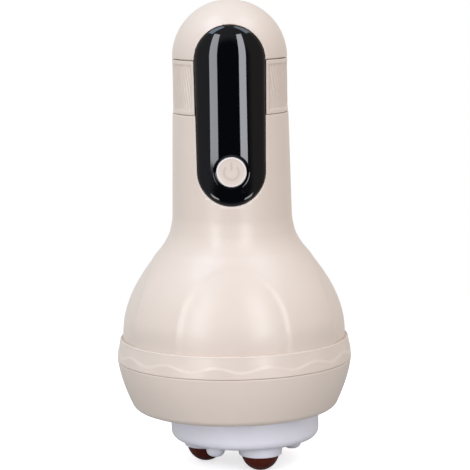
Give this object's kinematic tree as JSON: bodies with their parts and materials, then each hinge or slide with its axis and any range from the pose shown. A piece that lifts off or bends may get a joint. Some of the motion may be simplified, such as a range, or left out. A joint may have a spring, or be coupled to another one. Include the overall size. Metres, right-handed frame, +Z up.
{
  "type": "abdominal massager",
  "caption": "Handheld massager: a domed handle with a long panel and a round button, a bell housing with a wavy band, and an orbiting disc head with free-rolling balls in collars.",
  "frame": {"origin": "On the axis of the handle, at the level of the balls' lowest points.", "axes": "+Z up along the handle; the front with the panel and the button faces -Y; +X to the right as seen from the front."},
  "size_m": [0.1238, 0.1238, 0.2457],
  "materials": {
    "shell_cream": "satin moulded ABS, pale cream",
    "head_white": "satin moulded ABS, cool white",
    "panel_black": "high-gloss smoked acrylic",
    "ball_resin": "polished dark red-brown resin",
    "black_plastic": "matte moulded plastic",
    "grey_plastic": "matte glass-filled nylon",
    "acetal": "natural white acetal",
    "circuit_board": "green solder mask",
    "cell_wrap": "blue shrink wrap over a steel can",
    "motor_casing": "zinc-plated sheet steel",
    "lead_sleeve": "red insulation",
    "bronze": "sintered bronze",
    "weight_iron": "sintered iron",
    "steel": "bright zinc-plated steel"
  },
  "bodies": {
    "body": {"body_shell": "shell_cream", "top_cap": "shell_cream", "grip_ring": "shell_cream", "display_panel": "panel_black", "switch_body": "black_plastic", "control_board": "circuit_board", "display_module": "black_plastic", "charge_socket": "steel", "charge_board": "circuit_board", "battery_cell_left": "cell_wrap", "battery_cell_right": "cell_wrap", "cell_strip": "steel", "battery_holder": "grey_plastic", "lower_shell": "shell_cream", "chassis_plate": "grey_plastic", "output_bush": "bronze", "gear_cover": "grey_plastic", "gear_pin": "steel", "motor_can": "motor_casing", "motor_end_cap": "black_plastic", "motor_lead_left": "lead_sleeve", "motor_lead_right": "lead_sleeve", "base_screw_a": "steel", "base_screw_b": "steel", "base_screw_c": "steel", "base_screw_d": "steel"},
    "button": {"power_button": "shell_cream", "switch_plunger": "black_plastic"},
    "rotor": {"motor_shaft": "steel", "motor_pinion": "bronze"},
    "intermediate": {"intermediate_gear": "acetal"},
    "crank": {"eccentric_shaft": "steel", "output_gear": "acetal", "counterweight": "weight_iron", "pin_washer": "steel", "pin_screw": "steel"},
    "head": {"head_cover": "head_white", "screw_cap": "head_white", "head_plate": "head_white", "head_bearing": "steel", "ball_seat_a": "acetal", "ball_seat_b": "acetal", "ball_seat_c": "acetal", "head_screw_a": "steel", "head_screw_b": "steel", "head_screw_c": "steel"},
    "ball_a": {"massage_ball_a": "ball_resin"},
    "ball_b": {"massage_ball_b": "ball_resin"},
    "ball_c": {"massage_ball_c": "ball_resin"}
  },
  "joints": [
    {"name": "button_press", "type": "slide", "parent": "body", "child": "button", "axis": [0, 1, 0], "range_m": [0, 0.0006], "stiffness_N_per_m": 1200, "springref_m": -0.0004},
    {"name": "crank_spin", "type": "hinge", "parent": "body", "child": "crank", "pos_m": [0, 0, 0], "axis": [0, 0, 1], "continuous": true},
    {"name": "rotor_spin", "type": "hinge", "parent": "body", "child": "rotor", "pos_m": [0, 0, 0], "axis": [0, 0, 1], "continuous": true},
    {"name": "intermediate_spin", "type": "hinge", "parent": "body", "child": "intermediate", "pos_m": [0, 0.024, 0], "axis": [0, 0, 1], "continuous": true},
    {"name": "head_spin", "type": "hinge", "parent": "crank", "child": "head", "pos_m": [0.005, 0, 0], "axis": [0, 0, 1], "continuous": true},
    {"name": "ball_a_roll", "type": "hinge", "parent": "head", "child": "ball_a", "pos_m": [0.01274, -0.01985, 0.01], "axis": [0.3633, -0.9317, 0], "continuous": true},
    {"name": "ball_b_roll", "type": "hinge", "parent": "head", "child": "ball_b", "pos_m": [0.01832, 0.01662, 0.01], "axis": [0.6252, 0.7804, 0], "continuous": true},
    {"name": "ball_c_roll", "type": "hinge", "parent": "head", "child": "ball_c", "pos_m": [-0.01605, 0.00322, 0.01], "axis": [-0.9885, 0.1513, 0], "continuous": true}
  ],
  "couplings": [
    {"joint": "rotor_spin", "follows": "crank_spin", "ratio": 9},
    {"joint": "intermediate_spin", "follows": "crank_spin", "ratio": -3}
  ]
}
